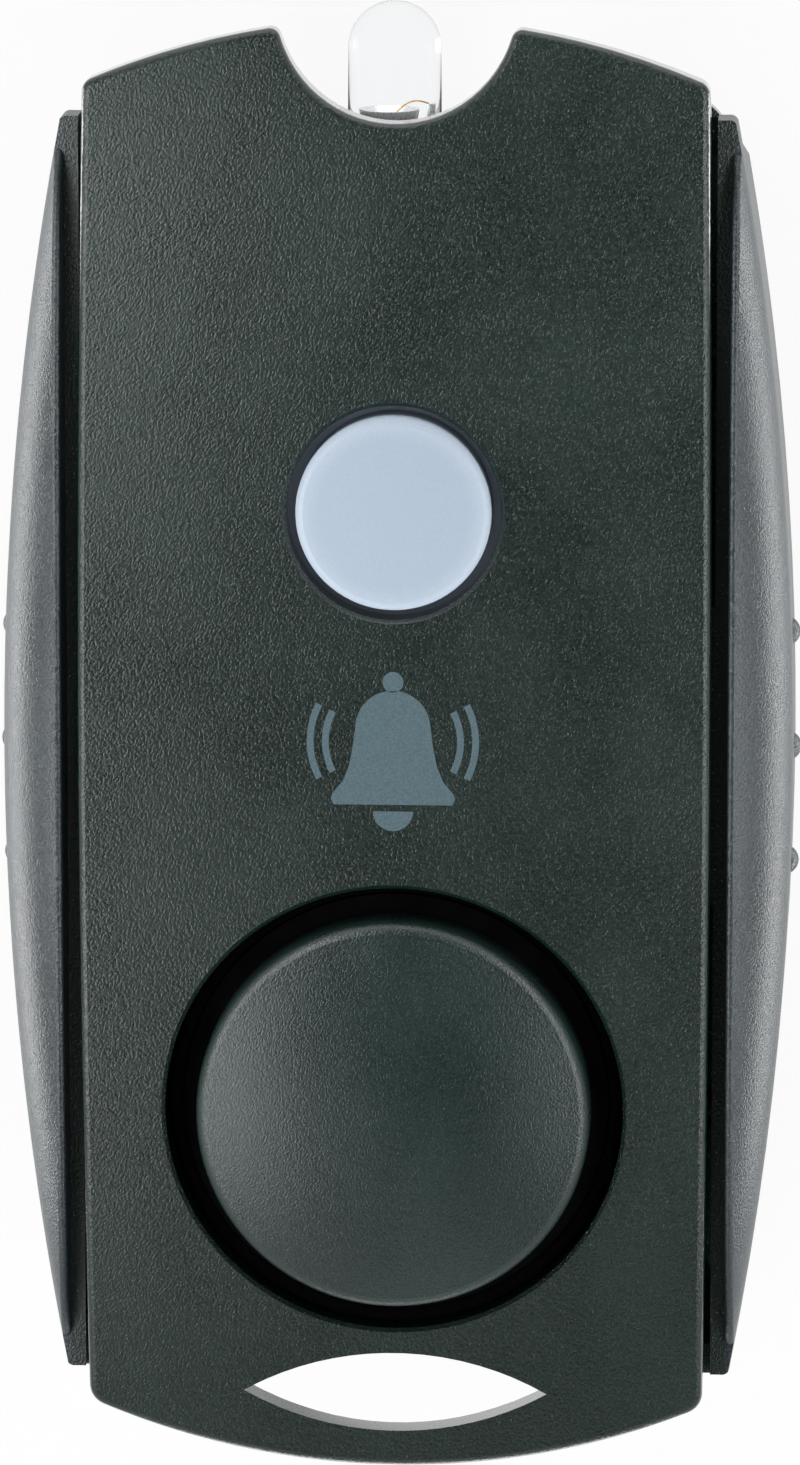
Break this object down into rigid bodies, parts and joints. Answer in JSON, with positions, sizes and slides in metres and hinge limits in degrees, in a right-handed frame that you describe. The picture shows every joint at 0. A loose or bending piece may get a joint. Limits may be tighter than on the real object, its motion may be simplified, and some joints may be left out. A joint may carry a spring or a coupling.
{
  "type": "panic alarm",
  "caption": "Pocket panic alarm: bowed black case with domed siren cap, pale torch button, clear lamp in an end notch, loop slot and two squeeze keys on the long sides.",
  "frame": {"origin": "on the flat back face, on the mid-plane, level with the middle nub of the squeeze keys", "axes": "+Z out of the front face, +Y towards the lamp end, +X to the right seen from the front"},
  "size_m": [0.0424, 0.0776, 0.0189],
  "materials": {
    "case_black": "fine leathery grain, satin",
    "key_black": "fine grain, satin",
    "cap_black": "finer grain, satin",
    "button_pale": "matt pale blue",
    "lamp_clear": "clear, polished",
    "lamp_metal": "silver-plated",
    "board_green": "solder mask",
    "component_black": "moulded",
    "switch_stem_white": "moulded",
    "ferrite": "ground ferrite",
    "can_aluminium": "drawn can",
    "cell_nickel": "nickel-plated, light as a lithium cell is",
    "contact_steel": "nickel-plated spring strip",
    "sounder_brass": "rolled sheet",
    "sounder_ceramic": "silvered ceramic",
    "foam_black": "closed-cell foam",
    "lead_red": "insulation",
    "lead_black": "insulation",
    "spring_steel": "drawn wire",
    "screw_black": "blackened"
  },
  "bodies": {
    "case": {"front_cover": "case_black", "rear_case": "case_black", "coin_cell_lower": "cell_nickel", "coin_cell_upper": "cell_nickel", "positive_contact": "contact_steel", "negative_contact": "contact_steel", "circuit_board": "board_green", "sound_chip": "component_black", "drive_transistor": "component_black", "boost_inductor": "ferrite", "capacitor": "can_aluminium", "chip_resistors": "component_black", "torch_switch": "component_black", "siren_cap": "cap_black", "siren_housing": "case_black", "foam_ring": "foam_black", "piezo_disc": "sounder_brass", "piezo_ceramic": "sounder_ceramic", "piezo_lead_positive": "lead_red", "piezo_lead_negative": "lead_black", "lamp_lens": "lamp_clear", "lamp_lead_frame": "lamp_metal", "case_screws": "screw_black", "right_key_springs": "spring_steel", "left_key_springs": "spring_steel", "right_key_switch": "component_black", "left_key_switch": "component_black"},
    "torch_push": {"torch_button": "button_pale", "torch_switch_stem": "switch_stem_white"},
    "left_grip": {"left_key": "key_black", "left_switch_stem": "switch_stem_white"},
    "right_grip": {"right_key": "key_black", "right_switch_stem": "switch_stem_white"},
    "door": {"battery_door": "case_black"}
  },
  "joints": [
    {"name": "torch_press", "type": "slide", "parent": "case", "child": "torch_push", "axis": [0, 0, -1], "range_m": [0, 0.0006], "stiffness_N_per_m": 1500},
    {"name": "left_key_press", "type": "slide", "parent": "case", "child": "left_grip", "axis": [1, 0, 0], "range_m": [0, 0.0006], "stiffness_N_per_m": 2500, "deforming": ["left_key_springs"]},
    {"name": "right_key_press", "type": "slide", "parent": "case", "child": "right_grip", "axis": [-1, 0, 0], "range_m": [0, 0.0006], "stiffness_N_per_m": 2500, "deforming": ["right_key_springs"]},
    {"name": "door_turn", "type": "hinge", "parent": "case", "child": "door", "pos_m": [0, 0.0134, 0], "axis": [0, 0, 1], "range_deg": [0, 60]}
  ]
}
